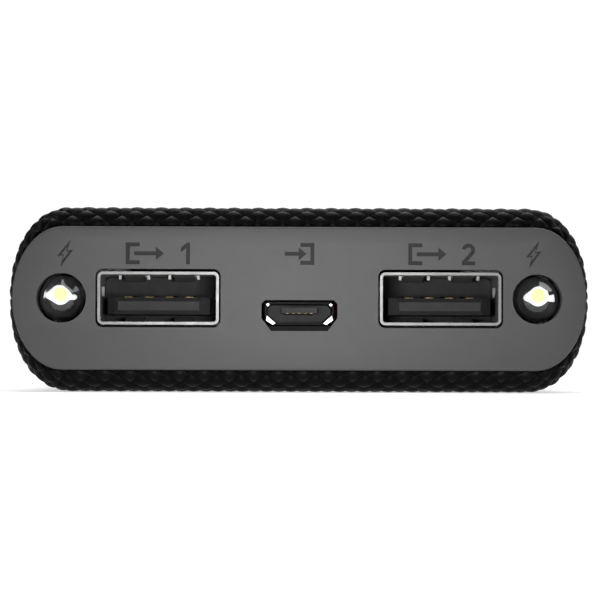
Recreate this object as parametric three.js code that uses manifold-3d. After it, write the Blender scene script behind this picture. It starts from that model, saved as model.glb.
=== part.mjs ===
// A flat power bank: two textured half shells closed by an end panel at each end. The port panel at -Y
// holds two USB-A sockets, a Micro-USB socket and two torch LEDs. A power button and a row of
// indicator lights sit in a trim on the +X side. Millimetres, +Z up, lying flat on Z = 0, with the
// origin under the middle of the case.

import * as THREE from "three";
import { LoftGeometry } from "three/addons/geometries/LoftGeometry.js";
import { mergeVertices } from "three/addons/utils/BufferGeometryUtils.js";
import Module from "manifold-3d";

const wasm = await Module();
wasm.setup();

// ---------------------------------------------------------------- driving dimensions

// Case
const caseLength = 140;
const caseWidth = 63.4;
const caseHeight = 20.3;
const caseSideRun = 6.8; // how far each rounded side reaches in along X
const caseSquareness = 2.2; // exponent of the rounded side: 2 is an ellipse
const wall = 1.8;
const shoulderLength = 4; // over which the case draws in towards each panel
const partingGap = 0.1;
const lipThickness = 0.7;
const lipHeight = 1;
const hookCount = 3; // snap hooks on each side of the top shell
const hookWidth = 6;
const hookThickness = 0.9;
const hookReach = 3.4; // how far a hook hangs below the parting plane
const hookBead = 0.5;
const beadHeight = 0.8;
const postWidth = 3; // of the posts that stand up from the bottom shell
const postThickness = 1;
const frontPostWidth = 2;
const ribThickness = 1.1;
const ribHeight = 2.2;

// End panels
const panelInsetSide = 0.7; // from the case's width to the panel's
const panelInsetTop = 2.4;
const panelSideRun = 5.4;
const panelPlate = 1.2;
const panelEdge = 0.35; // rounding of the panel's outer edge
const shadowGap = 0.2; // between the panel's plate and the case's mouth
const mouthStep = 0.1; // the case's mouth stays this far inside the panel's outline
const spigotWall = 1;
const latchWidth = 8;
const latchThickness = 0.8;
const latchHeight = 0.4;
const latchSpread = 22; // between the two latches on one side of a spigot

// USB-A sockets
const usbWidth = 13.1;
const usbHeight = 5.72;
const usbDepth = 14;
const usbSheet = 0.3;
const usbCorner = 0.6;
const usbRecess = 0.15; // of the socket's rim behind the panel's face
const usbCutoutSide = 0.2; // gap between the socket and its cut-out
const usbCutoutTop = 0.3;
const usbToTorch = 1; // between a socket's cut-out and the torch hole beside it
const tongueWidth = 11.1;
const tongueThickness = 1.84;
const tongueDrop = 0.8; // of the tongue's middle below the socket's
const tongueSetback = 1.3;
const tongueChamfer = 0.45;
const insulatorDepth = 2.8;
const insulatorSetback = 1.2; // of the insulator's back from the shell's
const legRows = [5.9, 10.2]; // of the shell's legs, behind its rim
const legWidth = 1.2;
const legPastBoard = 0.8; // how far legs and leads reach through the board
const contactPitch = 2.2;
const contactWidth = 0.9;
const contactSheet = 0.25;
const contactProud = 0.08; // over the tongue
const contactSetback = 1.3; // of a contact's tip behind the tongue's
const tailSetback = 0.3; // of the contacts' tails behind the insulator
const springSpread = 5.4;
const springWidth = 2.8;
const springLength = 5;
const springSetback = 3;
const springDip = 0.6;
const springSlit = 0.3; // on each side of a spring finger
const springEnd = 0.5; // of a finger's free end from the end of its opening
const lugWidth = 0.3; // small lugs folded in beside the roof's springs
const lugDrop = 0.45;
const lugLength = 1;
const cheekRise = 0.9; // middle of the openings in a socket's sides, over its own
const cheekHeight = 1.1;

// Micro-USB socket
const microWidth = 7.5;
const microHeight = 2.5;
const microDepth = 5.6;
const microSheet = 0.25;
const microRecess = 0.5;
const microFlankRun = 1.05;
const microFlankRise = 1.05;
const microGapSide = 0.35;
const microGapTop = 0.2;
const microGapUnder = 0.65;
const microNick = 0.4; // cut off the upper corners
const microTongueWidth = 3.9;
const microTongueThickness = 0.6;
const microTongueDrop = 0.35; // of the tongue under the shell's roof
const microTongueSetback = 0.9;
const microInsulatorDepth = 1.6;
const microContactPitch = 0.65;
const microContactWidth = 0.35;
const microContactSheet = 0.25;
const microContactProud = 0.03;
const microLegWidth = 0.9;

// Torch LEDs
const torchInset = 5.3; // of an LED's axis from the panel's side
const torchDiameter = 5;
const torchFit = 0.2; // gap all round between an LED and its hole
const torchRecess = 0.1;
const torchLength = 7.6;
const torchFlange = 5.8;
const torchFlangeDepth = 1;
const torchLeadPitch = 2.54;
const torchLead = 0.5;
const torchLeadRun = 0.8; // between the LED's flange and the leads' bend, beyond the clearance

// Main board
const boardThickness = 1.2;
const boardInset = 1.3; // of the board's edge from the back of the trim
const boardSeat = 0.05; // between the board and what sits on or under it
const socketOverhang = 3; // of the sockets past the board's front edge
const boardPastTrim = 0.5; // of the board's rear edge
const screwInset = 4.2; // of a screw from the board's side edge
const screwHead = 3.4;
const screwHeadHeight = 1.2;
const screwShank = 1.6;
const screwLength = 4.6;
const screwCrossLength = 1.8;
const screwCrossWidth = 0.45;
const screwCrossDepth = 0.6;
const bossDiameter = 4.6;

// Side trim, button and lights
const trimHeight = 6.2;
const trimFlange = 1; // how far the flange reaches past the window
const trimFlangeDepth = 0.8;
const trimMargin = 2.2;
const buttonLength = 11;
const buttonHeight = 3.8;
const buttonFlange = 0.7;
const buttonFlangeDepth = 0.7;
const buttonTravel = 0.3;
const buttonToLights = 2.2;
const lightCount = 4;
const lightPitch = 2.4;
const lightDiameter = 1.6;
const switchLength = 6;
const switchDepth = 3.4;
const switchHeight = 3.3;
const switchCoverSheet = 0.2;
const plungerHeight = 1.7; // of its axis above the board
const plungerDiameter = 1.5;
const plungerReach = 0.5;
const plungerRoot = 1;
const plungerGap = 0.1; // from the board's edge to the plunger's tip
const indicatorSize = 0.8;
const indicatorSetback = 2; // of the indicator LEDs behind the trim
const lightBar = 0.9; // thickness of the bar that joins the light pins
const lightBarMargin = 1.1;

// Power parts
const chokeSize = 8;
const chokeHeight = 4.2;
const chokeCorner = 1.2;
const chokePlace = 0;
const converterSize = [4.9, 6, 1.6];
const converterPlace = -8.6;
const chargerSize = [4, 4, 0.9];
const chargerPlace = 8.2;
const canisterDiameter = 6.2;
const canisterHeight = 5.8;
const canisterFoot = 6.6;
const canisterFootHeight = 1;
const canisterPlace = 16.5;

// Battery
const padThickness = 0.8;
const padMargin = 2;
const tapeThickness = 0.3;
const tapeMargin = 4;
const stackGap = 0.05; // between the stacked cells, pads and tape
const cellCorner = 1.6;
const tabWidth = 4;
const tabSheet = 0.2;
const tabSpacing = 24;
const tabBend = 2.2;
const protectionThickness = 1;
const protectionWidth = 40;
const protectionMargin = 0.5; // of the protection board above and below the tabs
const boardsApart = 2; // from the main board to the protection board
const tabReach = 2.2; // from the cells to the protection board
const leadDiameter = 1.5;
const leadSpacing = 9;
const leadRun = 4.4; // from the protection board to the solder pads on the main board

// Fits
const slipFit = 0.15; // between a piece and the hole or recess that it goes into
const clearOf = 0.3; // between pieces that pass each other
const buried = 0.2; // how far a joined body reaches into the one that it grows from

const arcSteps = 10; // per quarter of an outline's rounded side
const shoulderSteps = 6;
const roundSteps = 20; // of a small round piece

// ---------------------------------------------------------------- places worked out from them

const middle = caseHeight / 2; // height of the parting plane and of the socket row
const face = -caseLength / 2; // front of the port panel
const halfBody = caseLength / 2 - panelPlate - shadowGap; // the case's mouths are at plus and minus this

const caseOutline = outlineOf(caseWidth / 2, caseHeight / 2, caseSideRun, caseSquareness);
const panelOutline = outlineOf(
  caseWidth / 2 - panelInsetSide,
  caseHeight / 2 - panelInsetTop,
  panelSideRun,
  2,
);
const mouthOutline = inset(panelOutline, mouthStep);
const cavityOutline = inset(caseOutline, wall);
const collarOutline = inset(mouthOutline, wall);
const spigotOutline = inset(collarOutline, slipFit);
const spigotLength = shadowGap + wall + slipFit + latchThickness;

const torchHole = torchDiameter + 2 * torchFit;
const torchX = panelOutline.halfWidth - torchInset;
const usbX = torchX - torchHole / 2 - usbToTorch - usbCutoutSide - usbWidth / 2;

const boardTop = middle - usbHeight / 2 - boardSeat;
const boardUnder = boardTop - boardThickness;
const usbRim = face + usbRecess;
const boardFront = usbRim + socketOverhang;
const torchBack = face + torchRecess + torchLength;
const noseEnd = torchBack + 2 * clearOf;
const leadRow = noseEnd + torchLead + torchLeadRun; // where the torch leads go down

const trimLength =
  2 * trimMargin + buttonLength + buttonToLights + (lightCount - 1) * lightPitch + lightDiameter;
const trimFront = torchBack + clearOf + trimFlange;
const trimMiddle = trimFront + trimLength / 2;
const trimFace = reachAt(caseOutline, trimHeight / 2);
const trimFlangeFace = reachAt(cavityOutline, trimHeight / 2 + trimFlange) - slipFit;
const trimBack = trimFlangeFace - trimFlangeDepth;
const buttonMiddle = trimFront + trimMargin + buttonLength / 2;
const firstLight = buttonMiddle + buttonLength / 2 + buttonToLights + lightDiameter / 2;
const buttonBack = trimBack - slipFit - buttonFlangeDepth;
const boardHalfWidth = trimBack - boardInset;
const boardNoseHalfWidth = torchX - torchHole / 2; // of the narrow front part between the LEDs
const screwX = boardHalfWidth - screwInset;
const plungerTip = boardHalfWidth - plungerGap;
const switchFront = plungerTip - plungerReach;
const plungerAxis = boardTop + plungerHeight;

const boardRear = trimFront + trimLength + boardPastTrim;
const screwRow = boardRear - bossDiameter / 2;
const protectionFront = boardRear + boardsApart;
const protectionBack = protectionFront + protectionThickness;
const cellsFront = protectionBack + tabReach;
const cellsRear = halfBody + shadowGap - spigotLength - clearOf - ribThickness - clearOf;
const cellWidth = 2 * (cavityOutline.halfWidth - cavityOutline.sideRun);
const cellThickness =
  (2 * cavityOutline.halfHeight - 2 * padThickness - tapeThickness) / 2 - 3 * stackGap;
// of a cell's middle from the parting plane
const cellOffset = tapeThickness / 2 + stackGap + cellThickness / 2;

// ---------------------------------------------------------------- outlines

// A flat-topped outline across the case, with full-height rounded sides.
function outlineOf(halfWidth, halfHeight, sideRun, squareness) {
  return { halfWidth, halfHeight, sideRun, squareness };
}

function inset(outline, by) {
  return outlineOf(
    outline.halfWidth - by,
    outline.halfHeight - by,
    outline.sideRun - by,
    outline.squareness,
  );
}

function blend(from, to, share) {
  const mix = (key) => THREE.MathUtils.lerp(from[key], to[key], share);
  return outlineOf(mix("halfWidth"), mix("halfHeight"), mix("sideRun"), mix("squareness"));
}

// How far an outline reaches from the middle plane at a height above or below the parting plane.
function reachAt(outline, height) {
  const rise = Math.pow(height / outline.halfHeight, outline.squareness);
  const share = Math.pow(1 - rise, 1 / outline.squareness);
  return outline.halfWidth - outline.sideRun * (1 - share);
}

// The outline as a ring of points at one place along Y.
function ring(outline, y) {
  const points = [];
  const power = 2 / outline.squareness;
  for (const side of [-1, 1]) {
    for (let i = 0; i <= 2 * arcSteps; i++) {
      const angle = (i / arcSteps - 1) * (Math.PI / 2);
      const across = Math.pow(Math.abs(Math.cos(angle)), power);
      const up = Math.sign(Math.sin(angle)) * Math.pow(Math.abs(Math.sin(angle)), power);
      const x = outline.halfWidth - outline.sideRun + outline.sideRun * across;
      points.push(new THREE.Vector3(side * x, y, middle - side * outline.halfHeight * up));
    }
  }
  return points;
}

function loft(rings) {
  return new LoftGeometry(rings, { capStart: true, capEnd: true });
}

// A closed body along the whole case that draws in from one outline to another near both ends.
function drawnBody(full, end, curveStart, curveLength, endReach) {
  const half = [];
  if (endReach > curveStart) half.push([end, endReach]);
  for (let i = 0; i <= shoulderSteps; i++) {
    const angle = (i / shoulderSteps) * (Math.PI / 2);
    const y = curveStart - curveLength * (1 - Math.cos(angle));
    half.push([blend(end, full, Math.sin(angle)), y]);
  }
  const rings = half.map(([outline, y]) => ring(outline, -y));
  rings.push(...half.reverse().map(([outline, y]) => ring(outline, y)));
  return loft(rings);
}

// ---------------------------------------------------------------- solids

function solid(geometry) {
  const bare = new THREE.BufferGeometry();
  bare.setAttribute("position", geometry.getAttribute("position"));
  bare.setIndex(geometry.index);
  const merged = mergeVertices(bare, 1e-4);
  return new wasm.Manifold(
    new wasm.Mesh({
      numProp: 3,
      vertProperties: merged.attributes.position.array,
      triVerts: new Uint32Array(merged.index.array),
    }),
  );
}

function geometryOf(made) {
  const mesh = made.getMesh();
  const geometry = new THREE.BufferGeometry();
  geometry.setAttribute("position", new THREE.BufferAttribute(mesh.vertProperties, 3));
  geometry.setIndex(new THREE.BufferAttribute(mesh.triVerts, 1));
  geometry.computeVertexNormals();
  return geometry;
}

function join(first, ...others) {
  return others.reduce((whole, next) => whole.add(solid(next)), first);
}

function cut(first, ...cutters) {
  return cutters.reduce((whole, next) => whole.subtract(solid(next)), first);
}

// A block between two limits on each axis, in either order.
function block([x0, x1], [y0, y1], [z0, z1]) {
  const size = [Math.abs(x1 - x0), Math.abs(y1 - y0), Math.abs(z1 - z0)];
  const geometry = new THREE.BoxGeometry(...size);
  return geometry.translate((x0 + x1) / 2, (y0 + y1) / 2, (z0 + z1) / 2);
}

function span(centre, size) {
  return [centre - size / 2, centre + size / 2];
}

const extrusion = { bevelEnabled: false, curveSegments: 5 };

// A shape drawn in X and Z, as a prism between two places along Y.
function alongY(shape, [y0, y1]) {
  const geometry = new THREE.ExtrudeGeometry(shape, { ...extrusion, depth: y1 - y0 });
  return geometry.rotateX(Math.PI / 2).translate(0, y1, 0);
}

// A shape drawn in Y and Z, as a prism between two places along X.
function alongX(shape, [x0, x1]) {
  const geometry = new THREE.ExtrudeGeometry(shape, { ...extrusion, depth: x1 - x0 });
  const turn = new THREE.Matrix4().makeBasis(
    new THREE.Vector3(0, 1, 0),
    new THREE.Vector3(0, 0, 1),
    new THREE.Vector3(1, 0, 0),
  );
  return geometry.applyMatrix4(turn).translate(x0, 0, 0);
}

// A shape drawn in X and Y, as a prism between two heights.
function upwards(shape, [z0, z1]) {
  return new THREE.ExtrudeGeometry(shape, { ...extrusion, depth: z1 - z0 }).translate(0, 0, z0);
}

function polygon(points) {
  return new THREE.Shape(points.map(([x, y]) => new THREE.Vector2(x, y)));
}

function roundedRectangle(width, height, radius, across = 0, up = 0) {
  const shape = new THREE.Shape();
  const corners = [
    [1, -1, -Math.PI / 2],
    [1, 1, 0],
    [-1, 1, Math.PI / 2],
    [-1, -1, Math.PI],
  ];
  for (const [right, top, start] of corners) {
    const x = across + right * (width / 2 - radius);
    const y = up + top * (height / 2 - radius);
    shape.absarc(x, y, radius, start, start + Math.PI / 2, false);
  }
  return shape;
}

function stadium(length, height, across = 0, up = 0) {
  return roundedRectangle(length, height, height / 2 - 0.01, across, up);
}

function cylinder(radius, axis, [from, to], steps = roundSteps) {
  const geometry = new THREE.CylinderGeometry(radius, radius, to - from, steps);
  geometry.translate(0, (from + to) / 2, 0);
  if (axis === "z") geometry.rotateX(Math.PI / 2);
  if (axis === "x") geometry.rotateZ(-Math.PI / 2);
  return geometry;
}

// ---------------------------------------------------------------- materials and naming

const finish = (color, roughness, metalness = 0, more = {}) =>
  new THREE.MeshStandardMaterial({ color, roughness, metalness, ...more });

const materials = {
  casePlastic: finish(0x121314, 0.45),
  panelPlastic: finish(0x6b6b6d, 0.5),
  trimPlastic: finish(0x3a3b3d, 0.5),
  steel: finish(0xc4c5c6, 0.3, 1),
  insulator: finish(0x3c3c3e, 0.6),
  gold: finish(0xd9b25a, 0.3, 1),
  clearResin: finish(0xdfe4e8, 0.1, 0, { transparent: true, opacity: 0.5 }),
  lightResin: finish(0xe8e8e4, 0.35, 0, { transparent: true, opacity: 0.8 }),
  boardGreen: finish(0x14522f, 0.5),
  chipBlack: finish(0x1b1b1c, 0.55),
  ferrite: finish(0x2e2e30, 0.7),
  canister: finish(0xb9bbbe, 0.35, 1),
  foil: finish(0xbfc2c6, 0.35, 1),
  foam: finish(0x202122, 0.95),
  tape: finish(0xd8d2bf, 0.8),
  redSleeve: finish(0xb3201c, 0.5),
  blackSleeve: finish(0x161616, 0.5),
};

function piece(name, shape, material, parent) {
  const geometry = shape.isBufferGeometry ? shape : geometryOf(shape);
  const mesh = new THREE.Mesh(geometry, material);
  mesh.name = name;
  parent.add(mesh);
  return mesh;
}

const powerBank = new THREE.Group();

// ---------------------------------------------------------------- case shells

const hookPlaces = [];
for (let i = 0; i < hookCount; i++) {
  hookPlaces.push(THREE.MathUtils.lerp(cellsFront, cellsRear, (i + 0.5) / hookCount));
}

// The shell's wall, on one side of the parting plane.
function halfShell(up) {
  const outer = solid(drawnBody(caseOutline, mouthOutline, halfBody, shoulderLength, 0));
  const cavity = drawnBody(
    cavityOutline,
    collarOutline,
    halfBody - wall,
    shoulderLength - wall,
    halfBody + 1,
  );
  const far = caseWidth + caseHeight;
  const other = middle + (up * partingGap) / 2;
  const away = block(span(0, far), span(0, caseLength + far), [other, other - up * far]);
  return cut(outer, cavity, away);
}

// The side window that the trim goes through.
function trimWindow() {
  const outline = stadium(trimLength + 2 * slipFit, trimHeight + 2 * slipFit, trimMiddle, middle);
  return alongX(outline, [trimBack, caseWidth / 2 + 1]);
}

// Low cross ribs that keep the cells in place, standing on a shell's flat inside.
function cellRibs(up) {
  const inside = middle + up * cavityOutline.halfHeight;
  const height = [inside + up * (wall / 2), inside - up * ribHeight];
  const width = span(0, cellWidth - 2 * cellCorner);
  return [cellsFront - clearOf - ribThickness, cellsRear + clearOf].map((y) =>
    block(width, [y, y + ribThickness], height),
  );
}

function lipRun(side) {
  const start = side > 0 ? trimFront + trimLength + 2 * trimFlange : -halfBody + shoulderLength + 1;
  return [start, halfBody - shoulderLength - 1];
}

function topShell() {
  const parts = cellRibs(1);
  const inside = cavityOutline.halfWidth;
  const hookFace = reachAt(cavityOutline, hookReach) - slipFit;
  for (const side of [-1, 1]) {
    const lip = [side * inside, side * (inside + lipThickness)];
    parts.push(block(lip, lipRun(side), [middle - lipHeight, middle + lipHeight]));
    for (const y of hookPlaces) {
      const along = span(y, hookWidth);
      const arm = [side * (hookFace - hookThickness), side * hookFace];
      const root = [side * (hookFace - hookThickness), side * (inside + wall / 2)];
      const bead = [side * (hookFace - hookThickness), side * (hookFace + hookBead)];
      parts.push(block(arm, along, [middle - hookReach, middle + hookReach]));
      parts.push(block(root, along, [middle + lipHeight, middle + hookReach]));
      parts.push(block(bead, along, [middle - hookReach, middle - hookReach + beadHeight]));
    }
  }
  return cut(join(halfShell(1), ...parts), trimWindow());
}

function bottomShell() {
  const parts = cellRibs(-1);
  const cutters = [trimWindow()];
  const inside = cavityOutline.halfWidth;
  const floor = [wall / 2, boardUnder - boardSeat];
  const hookFace = reachAt(cavityOutline, hookReach);
  for (const side of [-1, 1]) {
    // rebate for the top shell's lip
    const [from, to] = lipRun(side);
    const across = [side * (inside - 1), side * (inside + lipThickness + slipFit)];
    cutters.push(
      block(across, [from - clearOf, to + clearOf], [middle - lipHeight - slipFit, middle + 1]),
    );
    // pockets that the hooks' beads snap into
    for (const y of hookPlaces) {
      const deep = [side * (hookFace - 1), side * (hookFace + hookBead)];
      const high = [middle - hookReach - slipFit, middle - hookReach + beadHeight + slipFit];
      cutters.push(block(deep, span(y, hookWidth + 2 * clearOf), high));
    }
    // screw boss, front post and the slotted posts that hold the protection board
    const boss = cylinder(bossDiameter / 2, "z", floor, 16);
    parts.push(boss.translate(side * screwX, screwRow, 0));
    const pilot = cylinder(screwShank / 2 + slipFit / 2, "z", [boardUnder - screwLength, middle], 12);
    cutters.push(pilot.translate(side * screwX, screwRow, 0));
    const betweenSockets = (usbX - usbWidth / 2 + microWidth / 2) / 2;
    parts.push(block(span(side * betweenSockets, frontPostWidth), span(torchBack, postWidth), floor));
    const slot = span(side * (protectionWidth / 2 - postWidth), postWidth);
    const edge = [wall / 2, middle - cellOffset + postThickness];
    const [before, after] = [protectionFront - slipFit, protectionBack + slipFit];
    parts.push(block(slot, [before - postThickness, before], edge));
    parts.push(block(slot, [after, after + postThickness], edge));
  }
  return cut(join(halfShell(-1), ...parts), ...cutters);
}

piece("top_shell", topShell(), materials.casePlastic, powerBank);
piece("bottom_shell", bottomShell(), materials.casePlastic, powerBank);

// ---------------------------------------------------------------- end panels

// The plate that closes one end, with a spigot behind it that latches behind the case's collar.
function endPanel() {
  const plateBack = face + panelPlate;
  const spigotBack = plateBack + spigotLength;
  const roundedIn = panelEdge * (1 - Math.SQRT1_2); // the edge's rounding, halfway round
  const plate = solid(
    loft([
      ring(inset(panelOutline, panelEdge), face),
      ring(inset(panelOutline, roundedIn), face + roundedIn),
      ring(panelOutline, face + panelEdge),
      ring(panelOutline, plateBack),
    ]),
  );
  const spigot = solid(
    loft([ring(spigotOutline, plateBack - buried), ring(spigotOutline, spigotBack)]),
  );
  const hollow = inset(spigotOutline, spigotWall);
  const hollowed = cut(spigot, loft([ring(hollow, plateBack), ring(hollow, spigotBack + 1)]));
  const latches = [];
  for (const x of [-latchSpread / 2, latchSpread / 2]) {
    for (const up of [-1, 1]) {
      const root = middle + up * (spigotOutline.halfHeight - spigotWall / 2);
      const tip = middle + up * (spigotOutline.halfHeight + latchHeight);
      latches.push(
        block(span(x, latchWidth), [spigotBack - latchThickness, spigotBack], [root, tip]),
      );
    }
  }
  return join(plate.add(hollowed), ...latches);
}

// The Micro-USB outline: wide at the top, with slanted lower flanks.
function microOutline(growSide, growTop, growUnder) {
  const half = microWidth / 2 + growSide;
  const slant = microWidth / 2 - microFlankRun + growSide;
  const top = microHeight / 2 + growTop;
  const under = -microHeight / 2 - growUnder;
  const bend = -microHeight / 2 + microFlankRise - growUnder / 2;
  return [
    [-slant, under],
    [slant, under],
    [half, bend],
    [half, top - microNick],
    [half - microNick, top],
    [-half + microNick, top],
    [-half, top - microNick],
    [-half, bend],
  ];
}

const microMiddle = boardTop + boardSeat + microHeight / 2;

function portPanel() {
  const through = [face - 1, face + panelPlate + spigotLength + 1];
  const usbHole = (x) =>
    roundedRectangle(
      usbWidth + 2 * usbCutoutSide,
      usbHeight + 2 * usbCutoutTop,
      usbCorner + usbCutoutSide,
      x,
      middle,
    );
  const micro = alongY(polygon(microOutline(microGapSide, microGapTop, microGapUnder)), through);
  const boardRoom = block(
    span(0, 2 * (boardNoseHalfWidth + clearOf)),
    [face + panelPlate, through[1]],
    [boardUnder - clearOf, boardTop + clearOf],
  );
  const cutters = [micro.translate(0, 0, microMiddle), boardRoom];
  for (const side of [-1, 1]) {
    cutters.push(alongY(usbHole(side * usbX), through));
    const bore = cylinder(torchHole / 2, "y", through, 32);
    cutters.push(bore.translate(side * torchX, 0, middle));
  }
  return cut(endPanel(), ...cutters);
}

piece("port_panel", portPanel(), materials.panelPlastic, powerBank);
const rearPanel = piece("rear_panel", endPanel(), materials.panelPlastic, powerBank);
rearPanel.rotation.z = Math.PI;

// ---------------------------------------------------------------- main board

// A square bar bent once: back along Y from one place, then down along Z.
function bentBar([yFrom, yTo], [zTop, zEnd], thickness) {
  return polygon([
    [yFrom, zTop],
    [yFrom, zTop - thickness],
    [yTo - thickness, zTop - thickness],
    [yTo - thickness, zEnd],
    [yTo, zEnd],
    [yTo, zTop],
  ]);
}

const legLength = boardThickness + legPastBoard;
const insulatorBack = usbDepth - insulatorSetback;
const tailRow = insulatorBack + tailSetback; // where the contacts turn down, behind the rim
const microRim = face + microRecess;
const microLegRow = microDepth - microLegWidth / 2;

function mainBoard() {
  const outline = polygon([
    [-boardNoseHalfWidth, boardFront],
    [boardNoseHalfWidth, boardFront],
    [boardNoseHalfWidth, noseEnd],
    [boardHalfWidth, noseEnd],
    [boardHalfWidth, boardRear],
    [-boardHalfWidth, boardRear],
    [-boardHalfWidth, noseEnd],
    [-boardNoseHalfWidth, noseEnd],
  ]);
  const height = [boardUnder, boardTop];
  const through = [boardUnder - 1, boardTop + 1];
  const cutters = [];
  const slot = (x, y, width, length) =>
    cutters.push(block(span(x, width + 2 * slipFit), span(y, length + 2 * slipFit), through));
  for (const side of [-1, 1]) {
    const centre = side * usbX;
    for (const leg of [-1, 1]) {
      const x = centre + leg * (usbWidth / 2 - usbSheet / 2);
      for (const row of legRows) slot(x, usbRim + row, usbSheet, legWidth);
    }
    for (let i = 0; i < 4; i++) {
      slot(centre + (i - 1.5) * contactPitch, usbRim + tailRow, contactWidth, contactSheet);
    }
    for (const lead of [-0.5, 0.5]) {
      slot(side * torchX + lead * torchLeadPitch, leadRow, torchLead, torchLead);
    }
    slot(side * (microWidth / 2 - microSheet / 2), microRim + microLegRow, microSheet, microLegWidth);
    const hole = cylinder(screwShank / 2 + slipFit, "z", through, 12);
    cutters.push(hole.translate(side * screwX, screwRow, 0));
  }
  return cut(solid(upwards(outline, height)), ...cutters);
}

piece("main_board", mainBoard(), materials.boardGreen, powerBank);

function boardScrew() {
  const head = cylinder(screwHead / 2, "z", [boardSeat, boardSeat + screwHeadHeight], 16);
  const shank = cylinder(screwShank / 2, "z", [boardSeat - screwLength, boardSeat + buried], 12);
  const sunk = [boardSeat + screwHeadHeight - screwCrossDepth, screwHeadHeight + 1];
  const recess = [
    block(span(0, screwCrossLength), span(0, screwCrossWidth), sunk),
    block(span(0, screwCrossWidth), span(0, screwCrossLength), sunk),
  ];
  return cut(join(solid(head), shank), ...recess);
}

for (const [name, side] of [["board_screw_left", -1], ["board_screw_right", 1]]) {
  const screw = piece(name, boardScrew(), materials.steel, powerBank);
  screw.position.set(side * screwX, screwRow, boardTop);
}

// ---------------------------------------------------------------- USB-A sockets

// Local frame of a socket: Y back from its rim, Z up from its middle.
function usbShell() {
  const outer = roundedRectangle(usbWidth, usbHeight, usbCorner);
  const innerWidth = usbWidth - 2 * usbSheet;
  const innerHeight = usbHeight - 2 * usbSheet;
  const inner = roundedRectangle(innerWidth, innerHeight, usbCorner - usbSheet);
  const tube = solid(alongY(outer, [0, usbDepth]));
  const cutters = [alongY(inner, [-1, usbDepth - usbSheet])];
  const springs = [];
  const springRun = [springSetback, springSetback + springLength];
  for (const side of [-1, 1]) {
    for (const up of [-1, 1]) {
      // a spring finger in the roof or floor: it grows from the front and bends inwards
      const x = (side * springSpread) / 2;
      const skin = [up * (usbHeight / 2 + 1), up * (usbHeight / 2 - 2 * usbSheet)];
      cutters.push(block(span(x, springWidth), springRun, skin));
      const inside = up * (usbHeight / 2 - usbSheet);
      const outside = up * (usbHeight / 2);
      const dip = up * springDip;
      const finger = polygon([
        [springRun[0] - buried, inside],
        [springRun[1] - springEnd, inside - dip],
        [springRun[1] - springEnd, outside - dip],
        [springRun[0] - buried, outside],
      ]);
      springs.push(alongX(finger, span(x, springWidth - 2 * springSlit)));
      const lug = span((side * springSpread + up * (springWidth + lugWidth)) / 2, lugWidth);
      const hung = [usbHeight / 2 - usbSheet / 2, usbHeight / 2 - usbSheet - lugDrop];
      springs.push(block(lug, [springSetback, springSetback + lugLength], hung));
    }
    const cheek = [side * (usbWidth / 2 + 1), side * (usbWidth / 2 - 2 * usbSheet)];
    cutters.push(block(cheek, springRun, span(cheekRise, cheekHeight)));
    for (const row of legRows) {
      const sheet = [side * (usbWidth / 2 - usbSheet), (side * usbWidth) / 2];
      const drop = [-usbHeight / 2 - boardSeat - legLength, -usbHeight / 2 + usbCorner + buried];
      springs.push(block(sheet, span(row, legWidth), drop));
    }
  }
  // the floor is open under the contacts' tails
  const tails = 4 * contactPitch + contactWidth;
  const open = [insulatorBack - 2 * contactSheet, usbDepth - usbSheet];
  cutters.push(block(span(0, tails), open, [-usbHeight / 2 - 1, -usbHeight / 2 + 2 * usbSheet]));
  return join(cut(tube, ...cutters), ...springs);
}

const tongueTop = -tongueDrop + tongueThickness / 2;

function usbTongue() {
  const under = tongueTop - tongueThickness;
  const back = insulatorBack - insulatorDepth;
  const bar = polygon([
    [tongueSetback, under + tongueChamfer],
    [tongueSetback + tongueChamfer, under],
    [back + buried, under],
    [back + buried, tongueTop],
    [tongueSetback + tongueChamfer, tongueTop],
    [tongueSetback, tongueTop - tongueChamfer],
  ]);
  const insideWidth = usbWidth - 2 * usbSheet - 2 * boardSeat;
  const insideHeight = usbHeight - 2 * usbSheet - 2 * boardSeat;
  const rear = roundedRectangle(insideWidth, insideHeight, usbCorner);
  const body = join(
    solid(alongX(bar, span(0, tongueWidth))),
    alongY(rear, [back, insulatorBack]),
  );
  const grooves = [];
  for (let i = 0; i < 4; i++) {
    const x = (i - 1.5) * contactPitch;
    const bed = tongueTop + contactProud - contactSheet - boardSeat;
    const run = [tongueSetback + contactSetback - slipFit, insulatorBack + 1];
    grooves.push(
      block(span(x, contactWidth + 2 * slipFit), run, [bed, tongueTop + contactProud + clearOf]),
    );
  }
  return cut(body, ...grooves);
}

function usbContact() {
  const top = tongueTop + contactProud;
  const bar = bentBar(
    [tongueSetback + contactSetback, tailRow + contactSheet / 2],
    [top, -usbHeight / 2 - boardSeat - legLength],
    contactSheet,
  );
  return alongX(bar, span(0, contactWidth));
}

for (const [number, side] of [[1, -1], [2, 1]]) {
  const socket = new THREE.Group();
  socket.position.set(side * usbX, usbRim, middle);
  powerBank.add(socket);
  piece("usb_shell_" + number, usbShell(), materials.steel, socket);
  piece("usb_tongue_" + number, usbTongue(), materials.insulator, socket);
  for (let i = 0; i < 4; i++) {
    const name = "usb_contact_" + number + "abcd"[i];
    const contact = piece(name, usbContact(), materials.gold, socket);
    contact.position.x = (i - 1.5) * contactPitch;
  }
}

// ---------------------------------------------------------------- Micro-USB socket

// Local frame: Y back from its rim, Z up from its middle.
const microTongueTop = microHeight / 2 - microSheet - microTongueDrop;
const microTongueUnder = microTongueTop - microTongueThickness;
const microBlockFront = microDepth - microSheet - microInsulatorDepth;

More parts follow.
